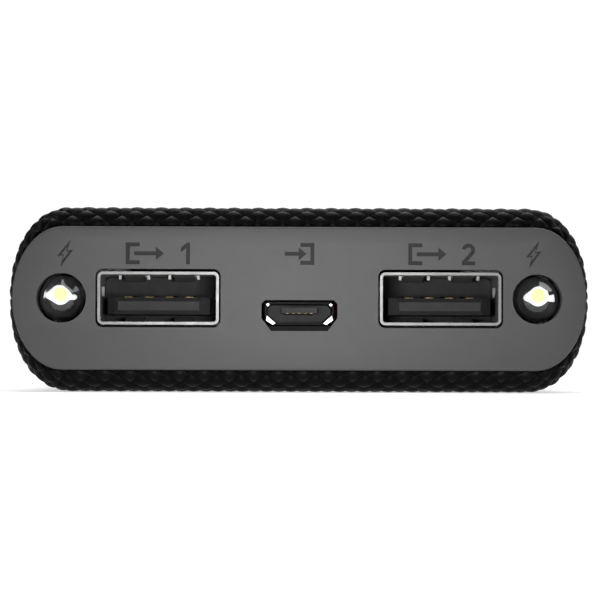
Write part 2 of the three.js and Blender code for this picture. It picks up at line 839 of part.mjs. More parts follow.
function microShell() {
  const tube = solid(alongY(polygon(microOutline(0, 0, 0)), [0, microDepth]));
  const inner = microOutline(-microSheet, -microSheet, -microSheet);
  const legs = [-1, 1].map((side) =>
    block(
      [side * (microWidth / 2 - microSheet), (side * microWidth) / 2],
      span(microLegRow, microLegWidth),
      [-microHeight / 2 - boardSeat - legLength, 0],
    ),
  );
  return join(cut(tube, alongY(polygon(inner), [-1, microDepth - microSheet])), ...legs);
}

function microTongue() {
  const within = -microSheet - boardSeat;
  const inner = microOutline(within, within, within);
  const rear = alongY(polygon(inner), [microBlockFront, microDepth - microSheet - boardSeat]);
  const run = [microTongueSetback, microBlockFront + buried];
  const bar = block(span(0, microTongueWidth), run, [microTongueUnder, microTongueTop]);
  const bed = microTongueUnder - microContactProud + microContactSheet + boardSeat;
  const grooves = [];
  for (let i = 0; i < 5; i++) {
    const x = (i - 2) * microContactPitch;
    const width = span(x, microContactWidth + 2 * boardSeat);
    const length = [microTongueSetback + slipFit, microDepth];
    grooves.push(block(width, length, [microTongueUnder - slipFit, bed]));
  }
  return cut(join(solid(rear), bar), ...grooves);
}

function microContact() {
  const along = [microTongueSetback + 2 * slipFit, microDepth - microSheet - 2 * boardSeat];
  const low = microTongueUnder - microContactProud;
  return block(span(0, microContactWidth), along, [low, low + microContactSheet]);
}

const microSocket = new THREE.Group();
microSocket.position.set(0, microRim, microMiddle);
powerBank.add(microSocket);
piece("micro_shell", microShell(), materials.steel, microSocket);
piece("micro_tongue", microTongue(), materials.insulator, microSocket);
for (let i = 0; i < 5; i++) {
  const contact = piece("micro_contact_" + (i + 1), microContact(), materials.gold, microSocket);
  contact.position.x = (i - 2) * microContactPitch;
}

// ---------------------------------------------------------------- torch LEDs

// A clear dome on a cylinder, with a flange at its back. It points along -Y from its local origin.
function torchLed() {
  const radius = torchDiameter / 2;
  const profile = [];
  const domeSteps = 7;
  for (let i = 0; i <= domeSteps; i++) {
    const angle = (i / domeSteps) * (Math.PI / 2);
    profile.push([radius * Math.sin(angle), torchLength - radius * (1 - Math.cos(angle))]);
  }
  profile.push([radius, torchFlangeDepth]);
  profile.push([torchFlange / 2, torchFlangeDepth]);
  profile.push([torchFlange / 2, 0]);
  profile.push([0, 0]);
  const points = profile.reverse().map(([x, y]) => new THREE.Vector2(x, y));
  return new THREE.LatheGeometry(points, roundSteps).rotateX(Math.PI);
}

for (const [name, side] of [["left", -1], ["right", 1]]) {
  const torch = new THREE.Group();
  torch.position.set(side * torchX, torchBack, middle);
  powerBank.add(torch);
  piece("torch_led_" + name, solid(torchLed()), materials.clearResin, torch);
  const bar = bentBar(
    [boardSeat, leadRow - torchBack + torchLead / 2],
    [torchLead / 2, boardUnder - middle - legPastBoard],
    torchLead,
  );
  for (const [letter, offset] of [["a", -0.5], ["b", 0.5]]) {
    const lead = alongX(bar, span(offset * torchLeadPitch, torchLead));
    piece("torch_lead_" + name + "_" + letter, solid(lead), materials.steel, torch);
  }
}

// ---------------------------------------------------------------- side trim, button and lights

const lightPlaces = [];
for (let i = 0; i < lightCount; i++) lightPlaces.push(firstLight + i * lightPitch);

function keyTrim() {
  const plug = stadium(trimLength, trimHeight, trimMiddle, middle);
  const flange = stadium(
    trimLength + 2 * trimFlange,
    trimHeight + 2 * trimFlange,
    trimMiddle,
    middle,
  );
  const body = join(
    solid(alongX(plug, [trimBack, trimFace])),
    alongX(flange, [trimBack, trimFlangeFace]),
  );
  const through = [trimBack - 1, trimFace + 1];
  const hole = stadium(
    buttonLength + 2 * slipFit,
    buttonHeight + 2 * slipFit,
    buttonMiddle,
    middle,
  );
  const lights = lightPlaces.map((y) =>
    cylinder(lightDiameter / 2, "x", through, 16).translate(0, y, middle),
  );
  return cut(body, alongX(hole, through), ...lights);
}

function powerButton() {
  const proud = caseWidth / 2 - 0.02;
  const cap = stadium(buttonLength, buttonHeight, buttonMiddle, middle);
  const flange = stadium(
    buttonLength + 2 * buttonFlange,
    buttonHeight + 2 * buttonFlange,
    buttonMiddle,
    middle,
  );
  const pusherRun = [plungerTip + boardSeat, buttonBack + buried];
  const pusher = cylinder(plungerDiameter / 2, "x", pusherRun, 16);
  return join(
    solid(alongX(cap, [buttonBack, proud])),
    alongX(flange, [buttonBack, buttonBack + buttonFlangeDepth]),
    pusher.translate(0, buttonMiddle, plungerAxis),
  );
}

function lightGuide() {
  const bar = [trimBack - slipFit - lightBar, trimBack - slipFit];
  const [first, last] = [lightPlaces[0], lightPlaces[lightCount - 1]];
  const height = [boardTop + indicatorSize + clearOf, middle + lightDiameter];
  const pins = lightPlaces.map((y) => {
    const run = [bar[1] - buried, trimFace - boardSeat];
    return cylinder((lightDiameter - slipFit) / 2, "x", run, 16).translate(0, y, middle);
  });
  const length = [first - lightBarMargin, last + lightBarMargin];
  return join(solid(block(bar, length, height)), ...pins);
}

function switchBody() {
  const across = [switchFront - switchDepth, switchFront];
  const body = block(across, span(buttonMiddle, switchLength), [
    boardTop + boardSeat,
    boardTop + switchHeight - switchCoverSheet - boardSeat,
  ]);
  const bore = cylinder(
    plungerDiameter / 2 + slipFit,
    "x",
    [switchFront - plungerRoot - buttonTravel - clearOf, switchFront + 1],
    16,
  );
  return cut(solid(body), bore.translate(0, buttonMiddle, plungerAxis));
}

// A thin bracket folded over the switch, open towards the button.
function switchCover() {
  const top = boardTop + switchHeight;
  const back = switchFront - switchDepth - boardSeat;
  const along = span(buttonMiddle, switchLength - 2 * clearOf);
  return join(
    solid(block([back - switchCoverSheet, switchFront], along, [top - switchCoverSheet, top])),
    block([back - switchCoverSheet, back], along, [boardTop + boardSeat, top]),
  );
}

function switchPlunger() {
  const run = [switchFront - plungerRoot, plungerTip];
  return cylinder(plungerDiameter / 2, "x", run, 16).translate(0, buttonMiddle, plungerAxis);
}

piece("key_trim", keyTrim(), materials.trimPlastic, powerBank);
piece("light_guide", lightGuide(), materials.lightResin, powerBank);
piece("switch_body", switchBody(), materials.chipBlack, powerBank);
piece("switch_cover", switchCover(), materials.steel, powerBank);
for (let i = 0; i < lightCount; i++) {
  const height = [boardTop + boardSeat, boardTop + indicatorSize];
  const inner = trimBack - slipFit - indicatorSetback;
  const across = [inner, inner + indicatorSize];
  const led = block(across, span(lightPlaces[i], 2 * indicatorSize), height);
  piece("indicator_led_" + (i + 1), led, materials.lightResin, powerBank);
}

// The button and the switch's plunger move together, inwards along -X.
const button = new THREE.Group();
powerBank.add(button);
piece("power_button", powerButton(), materials.trimPlastic, button);
piece("switch_plunger", solid(switchPlunger()), materials.chipBlack, button);

// ---------------------------------------------------------------- power parts on the board

const partsRow = (usbRim + usbDepth + boardRear) / 2; // between the sockets and the board's rear edge

function choke() {
  const half = chokeSize / 2;
  const flat = half - chokeCorner;
  const outline = polygon([
    [-flat, -half],
    [flat, -half],
    [half, -flat],
    [half, flat],
    [flat, half],
    [-flat, half],
    [-half, flat],
    [-half, -flat],
  ]);
  return upwards(outline, [boardSeat, chokeHeight]);
}

function chip([width, length, height]) {
  return block(span(0, width), span(0, length), [boardSeat, height]);
}

function canisterShape() {
  const foot = block(span(0, canisterFoot), span(0, canisterFoot), [boardSeat, canisterFootHeight]);
  const can = [canisterFootHeight - buried, canisterHeight];
  return join(solid(foot), cylinder(canisterDiameter / 2, "z", can, roundSteps));
}

const boardParts = [
  ["inductor", choke(), materials.ferrite, chokePlace],
  ["converter_chip", chip(converterSize), materials.chipBlack, converterPlace],
  ["charger_chip", chip(chargerSize), materials.chipBlack, chargerPlace],
  ["capacitor_left", canisterShape(), materials.canister, -canisterPlace],
  ["capacitor_right", canisterShape(), materials.canister, canisterPlace],
];
for (const [name, shape, material, x] of boardParts) {
  piece(name, shape, material, powerBank).position.set(x, partsRow, boardTop);
}

// ---------------------------------------------------------------- battery

for (const [name, up] of [["lower", -1], ["upper", 1]]) {
  const centre = middle + up * cellOffset;
  const pouch = roundedRectangle(cellWidth, cellThickness, cellCorner, 0, centre);
  piece("cell_" + name, alongY(pouch, [cellsFront, cellsRear]), materials.foil, powerBank);

  const outside = middle + up * cavityOutline.halfHeight - up * stackGap;
  const length = [cellsFront + padMargin, cellsRear - padMargin];
  const thickness = [outside, outside - up * padThickness];
  const pad = block(span(0, cellWidth - 2 * padMargin), length, thickness);
  piece("pad_" + name, pad, materials.foam, powerBank);

  for (const [pole, side] of [["plus", 1], ["minus", -1]]) {
    // a strip from the cell's front that folds along the back of the protection board
    const start = protectionBack + boardSeat;
    const end = cellsFront - boardSeat;
    const strip = polygon([
      [end, centre],
      [start, centre],
      [start, centre - up * tabBend],
      [start + tabSheet, centre - up * tabBend],
      [start + tabSheet, centre - up * tabSheet],
      [end, centre - up * tabSheet],
    ]);
    const tab = alongX(strip, span((side * tabSpacing) / 2, tabWidth));
    piece("cell_tab_" + name + "_" + pole, tab, materials.foil, powerBank);
  }
}

const tapeWidth = span(0, cellWidth - 2 * tapeMargin);
const tapeLength = [cellsFront + tapeMargin, cellsRear - tapeMargin];
const tape = block(tapeWidth, tapeLength, span(middle, tapeThickness));
piece("cell_tape", tape, materials.tape, powerBank);

const protection = block(
  span(0, protectionWidth),
  [protectionFront, protectionBack],
  span(middle, 2 * (cellOffset + tabSheet + protectionMargin)),
);
piece("protection_board", protection, materials.boardGreen, powerBank);

// Two insulated leads curve from the protection board down to the main board.
function batteryLead(x) {
  const start = new THREE.Vector3(x, protectionFront - boardSeat, middle + cellOffset / 2);
  const bend = new THREE.Vector3(x, protectionFront - leadRun, middle + cellOffset / 2);
  const end = new THREE.Vector3(x, protectionFront - leadRun, boardTop + boardSeat);
  const section = new THREE.Shape().absarc(0, 0, leadDiameter / 2, 0, 2 * Math.PI, false);
  return new THREE.ExtrudeGeometry(section, {
    steps: 10,
    curveSegments: 10,
    extrudePath: new THREE.QuadraticBezierCurve3(start, bend, end),
  });
}

piece("positive_lead", batteryLead(leadSpacing / 2), materials.redSleeve, powerBank);
piece("negative_lead", batteryLead(-leadSpacing / 2), materials.blackSleeve, powerBank);

export default powerBank;
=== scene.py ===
# A flat power bank, dressed for its looks: two black half shells with raised diamonds, a dark grey panel
# at each end, two USB-A sockets, a Micro-USB socket, two torch LEDs and a side button with its lights.
# Metres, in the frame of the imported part: it lies on Z = 0 and the port panel faces -Y.

import math

import bmesh
import bpy
import numpy as np
from mathutils import Matrix, Vector


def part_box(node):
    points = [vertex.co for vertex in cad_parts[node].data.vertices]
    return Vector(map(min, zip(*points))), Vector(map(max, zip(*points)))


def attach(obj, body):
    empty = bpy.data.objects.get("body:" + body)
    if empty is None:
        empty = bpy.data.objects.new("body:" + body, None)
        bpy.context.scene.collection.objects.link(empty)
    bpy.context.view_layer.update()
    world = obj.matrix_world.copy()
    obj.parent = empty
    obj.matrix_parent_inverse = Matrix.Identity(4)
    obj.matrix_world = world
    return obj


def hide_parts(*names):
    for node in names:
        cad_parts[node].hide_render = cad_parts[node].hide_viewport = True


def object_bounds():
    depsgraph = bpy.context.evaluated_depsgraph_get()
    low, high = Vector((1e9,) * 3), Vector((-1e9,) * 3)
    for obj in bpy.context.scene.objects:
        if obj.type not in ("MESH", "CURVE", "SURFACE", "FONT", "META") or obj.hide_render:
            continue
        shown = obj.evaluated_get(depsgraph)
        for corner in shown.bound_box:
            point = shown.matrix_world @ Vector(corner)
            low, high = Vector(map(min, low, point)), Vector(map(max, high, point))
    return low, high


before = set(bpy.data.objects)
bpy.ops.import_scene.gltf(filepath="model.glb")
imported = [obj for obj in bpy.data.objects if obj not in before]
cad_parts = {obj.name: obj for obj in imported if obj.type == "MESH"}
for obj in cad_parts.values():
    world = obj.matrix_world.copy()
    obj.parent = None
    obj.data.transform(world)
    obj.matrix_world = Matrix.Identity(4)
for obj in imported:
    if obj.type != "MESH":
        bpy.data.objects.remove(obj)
cad_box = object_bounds()
mm = 0.001

# ------------------------------------------------------------------ studio
# The part lies on a plain pale floor inside a white sweep. A small card of light close in front of the
# port panel gives its face an even grey, and large soft lights all round draw the edges of the dark case.

panel_low, panel_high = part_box("port_panel")
panel_middle = Vector((0, panel_low.y, (panel_low.z + panel_high.z) / 2))
lens_from_panel = 300 * mm
lens_height = 2.5 * mm
lens_side = -3 * mm
aim_offset = Vector((0.06 * mm, 0, -0.16 * mm))  # of the middle of the view from the panel's
seen_width = 64.7 * mm  # across the view, at the panel
sensor_width = 36
camera_roll = math.radians(0.17)
surround = (0.06, 0.06, 0.06, 1)

camera_data = bpy.data.cameras.new("camera")
camera_data.sensor_width = sensor_width
camera_data.lens = sensor_width * lens_from_panel / seen_width
camera_data.clip_start = 0.01
camera_data.clip_end = 20
camera = bpy.data.objects.new("camera", camera_data)
bpy.context.collection.objects.link(camera)
camera.location = (lens_side, panel_low.y - lens_from_panel, lens_height)
aim = panel_middle + aim_offset - camera.location
camera_turn = aim.to_track_quat("-Z", "Y").to_matrix() @ Matrix.Rotation(camera_roll, 3, "Z")
camera.rotation_euler = camera_turn.to_euler()
bpy.context.scene.camera = camera
bpy.context.scene.view_settings.view_transform = "Standard"

world = bpy.data.worlds.new("studio")
world.use_nodes = True
world.node_tree.nodes["Background"].inputs["Color"].default_value = surround
bpy.context.scene.world = world


def soft_light(name, place, target, size, power):
    """A flat soft light that only shows in what it lights."""
    data = bpy.data.lights.new(name, "AREA")
    data.shape = "RECTANGLE"
    data.size, data.size_y = size
    data.energy = power
    light = bpy.data.objects.new(name, data)
    bpy.context.collection.objects.link(light)
    light.location = place
    light.rotation_euler = (Vector(target) - Vector(place)).to_track_quat("-Z", "Y").to_euler()
    light.visible_camera = False


part_middle = (cad_box[0] + cad_box[1]) / 2
card_place = (-0.0015, panel_low.y - 0.05, 0.008)
soft_light("lens_light", (0, -0.55, 0.12), panel_middle, size=(0.3, 0.3), power=0.1)
soft_light("card_light", card_place, panel_middle, size=(0.012, 0.008), power=0.032)
soft_light("back_light", (0.1, 0.55, 0.6), part_middle, size=(0.7, 0.7), power=3.5)
soft_light("left_light", (-0.7, -0.05, 0.35), part_middle, size=(0.5, 0.5), power=2)
soft_light("right_light", (0.7, 0.1, 0.35), part_middle, size=(0.5, 0.5), power=2)
soft_light("top_light", (0.0, 0.05, 0.8), part_middle, size=(0.6, 0.6), power=2.2)


def stage_piece(name, mesh, colour, glow=0):
    """Part of the studio, in plain matt paint that can glow."""
    obj = bpy.data.objects.new(name, mesh)
    bpy.context.collection.objects.link(obj)
    paint = bpy.data.materials.new(name + "_paint")
    paint.use_nodes = True
    shader = paint.node_tree.nodes["Principled BSDF"]
    shader.inputs["Base Color"].default_value = (*colour, 1)
    shader.inputs["Roughness"].default_value = 0.9
    shader.inputs["Specular IOR Level"].default_value = 0
    shader.inputs["Emission Color"].default_value = (1, 1, 1, 1)
    shader.inputs["Emission Strength"].default_value = glow
    mesh.materials.append(paint)
    return obj


def sweep_mesh(name, radius):
    """A ball, seen from inside, for the white all round the floor."""
    mesh = bpy.data.meshes.new(name)
    ball = bmesh.new()
    bmesh.ops.create_icosphere(ball, subdivisions=4, radius=radius)
    bmesh.ops.reverse_faces(ball, faces=ball.faces)
    ball.to_mesh(mesh)
    ball.free()
    return mesh


def floor_mesh(name, radius):
    """A flat round disc."""
    mesh = bpy.data.meshes.new(name)
    disc = bmesh.new()
    bmesh.ops.create_circle(disc, cap_ends=True, radius=radius, segments=64)
    disc.to_mesh(mesh)
    disc.free()
    return mesh


floor_radius = 3.9
floor_grey = (0.85, 0.85, 0.85)
floor_drop = 0.02 * mm  # under the part, so that their faces don't coincide
glow_reach = (0.1, 0.7)  # the floor's glow rises between these distances from the part
glow_range = (0.5, 1.05)
sweep_radius = 4

floor = stage_piece("floor", floor_mesh("floor", floor_radius), floor_grey)
floor.location.z = -floor_drop
floor_nodes = floor.data.materials[0].node_tree
floor_place = floor_nodes.nodes.new("ShaderNodeTexCoord")
floor_reach = floor_nodes.nodes.new("ShaderNodeVectorMath")
floor_reach.operation = "LENGTH"
floor_glow = floor_nodes.nodes.new("ShaderNodeMapRange")
floor_glow.inputs["From Min"].default_value = glow_reach[0]
floor_glow.inputs["From Max"].default_value = glow_reach[1]
floor_glow.inputs["To Min"].default_value = glow_range[0]
floor_glow.inputs["To Max"].default_value = glow_range[1]
floor_nodes.links.new(floor_place.outputs["Object"], floor_reach.inputs[0])
floor_nodes.links.new(floor_reach.outputs["Value"], floor_glow.inputs["Value"])
floor_nodes.links.new(
    floor_glow.outputs["Result"], floor_nodes.nodes["Principled BSDF"].inputs["Emission Strength"]
)
sweep = stage_piece("sweep", sweep_mesh("sweep", sweep_radius), (0, 0, 0), glow_range[1])
sweep.visible_diffuse = False
sweep.visible_glossy = False
sweep.visible_transmission = False
sweep.visible_shadow = False

# ------------------------------------------------------------------ case shells
# Two half shells moulded in black ABS, all over with small raised diamonds in staggered rows. They draw
# in over a short shoulder towards each end panel, and snap together along the middle of the sides.

case_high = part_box("top_shell")[1]
case_middle = (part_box("bottom_shell")[0].z + case_high.z) / 2
case_end = case_high.y
trim_low, trim_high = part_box("key_trim")
shoulder = 4 * mm  # long, at each end of the case
case_outline = {
    "half_width": 31.7 * mm,
    "half_height": 10.15 * mm,
    "side": 6.8 * mm,
    "power": 2.2,
}
mouth_outline = {
    "half_width": 30.9 * mm,
    "half_height": 7.65 * mm,
    "side": 5.3 * mm,
    "power": 2,
}
diamond_steps = 6  # grid steps across one diamond
diamonds_round = 58
diamond_rows = 105  # half diamonds from end to end
relief_depth = 0.42 * mm
relief_sink = 0.03 * mm  # of the diamonds' tips under the case's own surface
first_row = 0.44 * mm  # of the first row of tips, beyond the mouth
round_start = 0.86 * mm  # of a diamond's tip from the middle of the top
fade_start = 1 * mm  # inside the side trim's outline, where the skin is still smooth
fade_length = 0.9 * mm  # from there to diamonds of full depth
side_steps = 801  # points along the rounded side and the shoulder, for measuring them
shoulder_steps = 401
weld_distance = 0.001 * mm  # triangles' corners this close are one point


def mixed(a, b, share):
    """An outline between two others."""
    return {key: a[key] + (b[key] - a[key]) * share for key in a}


def side_point(outline, angle):
    """A point of the rounded right side, from +90 degrees at the top to -90 at the bottom."""
    across = abs(math.cos(angle)) ** (2 / outline["power"])
    up = math.copysign(abs(math.sin(angle)) ** (2 / outline["power"]), math.sin(angle))
    return outline["half_width"] - outline["side"] * (1 - across), outline["half_height"] * up


def running_length(points):
    """How far along a line each of its points lies."""
    steps = [math.dist(a, b) for a, b in zip(points, points[1:])]
    return np.concatenate([[0], np.cumsum(steps)])


side_angles = np.linspace(math.pi / 2, -math.pi / 2, side_steps)
side_run = running_length([side_point(case_outline, a) for a in side_angles])
side_length = side_run[-1]
flat_half = case_outline["half_width"] - case_outline["side"]
round_length = 4 * flat_half + 2 * side_length


def place_round(along):
    """Which zone of the outline a length from the middle of the top falls in, and how far into it."""
    along %= round_length
    if along < flat_half:
        return "top", along / flat_half
    along -= flat_half
    if along < side_length:
        return "right", float(np.interp(along, side_run, side_angles))
    along -= side_length
    if along < 2 * flat_half:
        return "bottom", 1 - along / flat_half
    along -= 2 * flat_half
    if along < side_length:
        return "left", -float(np.interp(along, side_run, side_angles))
    return "top", (along - side_length) / flat_half - 1


def outline_point(outline, place):
    """X and Z of a place on an outline, from the outline's middle."""
    zone, share = place
    flat = outline["half_width"] - outline["side"]
    if zone == "top":
        return share * flat, outline["half_height"]
    if zone == "bottom":
        return share * flat, -outline["half_height"]
    x, z = side_point(outline, share)
    return (x, z) if zone == "right" else (-x, z)


shoulder_angles = np.linspace(0, math.pi / 2, shoulder_steps)
shoulder_rise = case_outline["half_height"] - mouth_outline["half_height"]
shoulder_run = running_length(
    [(shoulder * (1 - math.cos(a)), shoulder_rise * math.sin(a)) for a in shoulder_angles]
)
shoulder_length = shoulder_run[-1]
straight_half = case_end - shoulder
skin_half = straight_half + shoulder_length + first_row


def outline_at(from_middle):
    """The case's outline, and its place along Y, at a length over the surface from its middle."""
    side = math.copysign(1, from_middle)
    left = skin_half - abs(from_middle) - first_row  # length left before the mouth
    if left < 0:
        return mouth_outline, side * (case_end - left)
    if left > shoulder_length:
        return case_outline, from_middle
    angle = float(np.interp(left, shoulder_run, shoulder_angles))
    y = case_end - shoulder * (1 - math.cos(angle))
    return mixed(mouth_outline, case_outline, math.sin(angle)), side * y


def from_tip(column, row):
    """How far a grid point is from the tip of its diamond, 0 at the tip and 1 in the groove, and on
    which side of the tip it is: the sign says which way a square of the grid is best halved."""
    half = diamond_steps / 2
    nearest = []
    for shift in (0, half):
        across = (column - shift + half) % diamond_steps - half
        along = (row - shift + half) % diamond_steps - half
        nearest.append((abs(across) + abs(along), across * along))
    least, turn = min(nearest)
    return least / half, turn


def patterned_body(name):
    """The whole case as one closed body, with its diamonds."""
    columns = diamonds_round * diamond_steps
    rows = diamond_rows * diamond_steps // 2
    places = [place_round(round_start + i / columns * round_length) for i in range(columns)]
    surface = np.zeros((rows + 1, columns, 3))
    for j in range(rows + 1):
        outline, y = outline_at(skin_half * (2 * j / rows - 1))
        for i, place in enumerate(places):
            x, z = outline_point(outline, place)
            surface[j, i] = x, y, case_middle + z
    round_step = np.roll(surface, -1, 1) - np.roll(surface, 1, 1)
    along_step = np.gradient(surface, axis=0)
    outwards = np.cross(along_step, round_step)
    outwards /= np.linalg.norm(outwards, axis=2, keepdims=True)
    if outwards[rows // 2, 0, 2] < 0:
        outwards *= -1
    depth = np.array([[from_tip(i, j)[0] ** 2 for i in range(columns)] for j in range(rows + 1)])
    # the skin is smooth round the window in the side, under the trim
    past_end = np.abs(surface[:, :, 1] - (trim_low.y + trim_high.y) / 2) - (trim_high.y - trim_low.y) / 2
    past_side = np.abs(surface[:, :, 2] - case_middle) - (trim_high.z - trim_low.z) / 2
    clear = (np.maximum(past_end, past_side) + fade_start) / fade_length
    clear[surface[:, :, 0] < 0] = 1
    depth *= np.clip(clear, 0, 1)
    surface -= outwards * (relief_sink + relief_depth * depth[:, :, None])
    points = [tuple(p) for p in surface.reshape(-1, 3)]
    front, back = len(points), len(points) + 1
    points += [(0, surface[0, 0, 1], case_middle), (0, surface[rows, 0, 1], case_middle)]
    faces = []
    for j in range(rows):
        for i in range(columns):
            here, right = j * columns + i, j * columns + (i + 1) % columns
            above, across = here + columns, right + columns
            if from_tip(i + 0.5, j + 0.5)[1] > 0:
                faces += [(here, above, right), (right, above, across)]
            else:
                faces += [(here, above, across), (here, across, right)]
    for i in range(columns):
        after = (i + 1) % columns
        faces.append((i, after, front))
        faces.append((rows * columns + after, rows * columns + i, back))
    mesh = bpy.data.meshes.new(name)
    mesh.from_pydata(points, [], faces)
    return mesh


def placed(name, mesh):
    """A new object from a mesh."""
    obj = bpy.data.objects.new(name, mesh)
    bpy.context.collection.objects.link(obj)
    return obj


def welded_copy(node, name):
    """A new object with a CAD node's shape, its triangles joined up."""
    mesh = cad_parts[node].data.copy()
    mesh.materials.clear()
    shape = bmesh.new()
    shape.from_mesh(mesh)
    bmesh.ops.remove_doubles(shape, verts=shape.verts, dist=weld_distance)
    shape.to_mesh(mesh)
    shape.free()
    for attribute in [a.name for a in mesh.attributes if a.name.startswith("custom_normal")]:
        mesh.attributes.remove(mesh.attributes[attribute])
    return placed(name, mesh)


def combine(obj, other, operation):
    """Cuts, joins or keeps what two closed bodies share; the second body is used up."""
    modifier = obj.modifiers.new("combine", "BOOLEAN")
    modifier.operation = operation
    modifier.solver = "MANIFOLD"
    modifier.object = other
    graph = bpy.context.evaluated_depsgraph_get()
    made = bpy.data.meshes.new_from_object(obj.evaluated_get(graph))
    obj.modifiers.clear()
    obj.data = made
    bpy.data.objects.remove(other)
    return obj


def rounded_look(obj, sharp_angle):
    """Smooth shading, with creases where faces meet at more than the given angle."""
    shape = bmesh.new()
    shape.from_mesh(obj.data)
    limit = math.radians(sharp_angle)
    for face in shape.faces:
        face.smooth = True
    for edge in shape.edges:
        edge.smooth = len(edge.link_faces) == 2 and edge.calc_face_angle(0) < limit
    shape.to_mesh(obj.data)
    shape.free()


def on_case(obj, material, sharp_angle=40):
    """Gives a finished piece of the case's body its material, shading and body."""
    obj.data.materials.clear()
    obj.data.materials.append(material)
    rounded_look(obj, sharp_angle)
    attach(obj, "case")


def finish(name, colour, roughness, grain, depth, mottle=0.12, stretch=(1, 1, 1), **sockets):
    """A moulded or rolled finish: a fine grain that catches light, and slow changes of tone and gloss.
    The grain's size and depth are lengths, mottle is the share by which the tone changes, and stretch
    draws the grain out along an axis."""
    mottle_size = 30 * grain
    gloss_size = 8 * grain
    gloss_change = 0.05
    material = bpy.data.materials.new(name)
    material.use_nodes = True
    nodes, links = material.node_tree.nodes, material.node_tree.links
    shader = nodes["Principled BSDF"]
    place = nodes.new("ShaderNodeTexCoord")
    scale = nodes.new("ShaderNodeMapping")
    scale.inputs["Scale"].default_value = stretch
    links.new(place.outputs["Object"], scale.inputs["Vector"])

    def noise(size, detail):
        node = nodes.new("ShaderNodeTexNoise")
        node.inputs["Scale"].default_value = 1 / size
        node.inputs["Detail"].default_value = detail
        links.new(scale.outputs["Vector"], node.inputs["Vector"])
        return node.outputs["Fac"]

    tone = nodes.new("ShaderNodeMix")
    tone.data_type = "RGBA"
    tone.inputs["A"].default_value = (*[c * (1 - mottle) for c in colour], 1)
    tone.inputs["B"].default_value = (*[c * (1 + mottle) for c in colour], 1)
    links.new(noise(mottle_size, 3), tone.inputs["Factor"])
    links.new(tone.outputs["Result"], shader.inputs["Base Color"])
    gloss = nodes.new("ShaderNodeMapRange")
    gloss.inputs["From Min"].default_value = 0.3
    gloss.inputs["From Max"].default_value = 0.7
    gloss.inputs["To Min"].default_value = roughness - gloss_change
    gloss.inputs["To Max"].default_value = roughness + gloss_change
    links.new(noise(gloss_size, 4), gloss.inputs["Value"])
    links.new(gloss.outputs["Result"], shader.inputs["Roughness"])
    bump = nodes.new("ShaderNodeBump")
    bump.inputs["Distance"].default_value = depth
    links.new(noise(grain, 2), bump.inputs["Height"])
    links.new(bump.outputs["Normal"], shader.inputs["Normal"])
    for socket, value in sockets.items():
        shader.inputs[socket.replace("_", " ")].default_value = value
    return material


def painted_groove_sheen(material, colour, shallow, deep):
    """Mixes a lighter tone into a finish where the surface is hollow: a painted sheen standing for the
    light that the grooves catch, from none at the pointiness of a shallow hollow to all of it in a deep
    one."""
    nodes, links = material.node_tree.nodes, material.node_tree.links
    shader = nodes["Principled BSDF"]
    before = shader.inputs["Base Color"].links[0].from_socket
    shape = nodes.new("ShaderNodeNewGeometry")
    ramp = nodes.new("ShaderNodeMapRange")
    ramp.inputs["From Min"].default_value = shallow
    ramp.inputs["From Max"].default_value = deep
    links.new(shape.outputs["Pointiness"], ramp.inputs["Value"])
    mix = nodes.new("ShaderNodeMix")
    mix.data_type = "RGBA"
    mix.inputs["B"].default_value = (*colour, 1)
    links.new(ramp.outputs["Result"], mix.inputs["Factor"])
    links.new(before, mix.inputs["A"])
    links.new(mix.outputs["Result"], shader.inputs["Base Color"])


case_plastic = finish(
    "case_plastic", (0.0018, 0.0018, 0.002), roughness=0.46, grain=0.12 * mm, depth=0.003 * mm,
    Specular_IOR_Level=0.06,
)
# painted sheen: the grooves between the diamonds are painted lighter for the light they catch
painted_groove_sheen(case_plastic, (0.004, 0.004, 0.0042), shallow=0.47, deep=0.40)

skin = patterned_body("diamond_skin")
for shell in ("bottom_shell", "top_shell"):
    piece = welded_copy(shell, shell + "_textured")
    combine(piece, placed("skin", skin.copy()), "INTERSECT")
    on_case(piece, case_plastic, sharp_angle=50)
    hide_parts(shell)

# ------------------------------------------------------------------ main board
# Black-masked glass-fibre board with the converter's parts on it, held by two screws to the bosses in
# the bottom shell.

board_black = finish(
    "board_black", (0.006, 0.0065, 0.007), roughness=0.6, grain=0.25 * mm, depth=0.004 * mm, mottle=0.3,
    Specular_IOR_Level=0.06,
)
chip_black = finish(
    "chip_black", (0.014, 0.014, 0.015), roughness=0.6, grain=0.08 * mm, depth=0.003 * mm, mottle=0.2,
)
ferrite_grey = finish(
    "ferrite_grey", (0.035, 0.035, 0.038), roughness=0.75, grain=0.1 * mm, depth=0.006 * mm,
    mottle=0.25,
)
canister_metal = finish(
    "canister_metal", (0.7, 0.7, 0.71), roughness=0.3, grain=0.1 * mm, depth=0.002 * mm, mottle=0.05,
    Metallic=1.0,
)
screw_steel = finish(
    "screw_steel", (0.45, 0.45, 0.46), roughness=0.35, grain=0.08 * mm, depth=0.002 * mm, mottle=0.1,
    Metallic=1.0,
)


def round_edges(obj, width, angle=40):
    """Rounds the edges where faces meet at more than the given angle."""
    bevel = obj.modifiers.new("edges", "BEVEL")
    bevel.width = width
    bevel.segments = 2
    bevel.limit_method = "ANGLE"
    bevel.angle_limit = math.radians(angle)
    return bevel


def dress(node, material, edge=0.0):
    """Gives a CAD node its finish, and rounds its edges a little."""
    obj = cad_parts[node]
    obj.data.materials.clear()
    obj.data.materials.append(material)
    if edge:
        weld = obj.modifiers.new("weld", "WELD")
        weld.merge_threshold = weld_distance
        round_edges(obj, edge).harden_normals = True


dress("main_board", board_black)
dress("protection_board", board_black)
dress("converter_chip", chip_black, edge=0.12 * mm)
dress("charger_chip", chip_black, edge=0.08 * mm)
dress("inductor", ferrite_grey, edge=0.25 * mm)
for side in ("left", "right"):
    dress("capacitor_" + side, canister_metal, edge=0.15 * mm)
    dress("board_screw_" + side, screw_steel, edge=0.08 * mm)

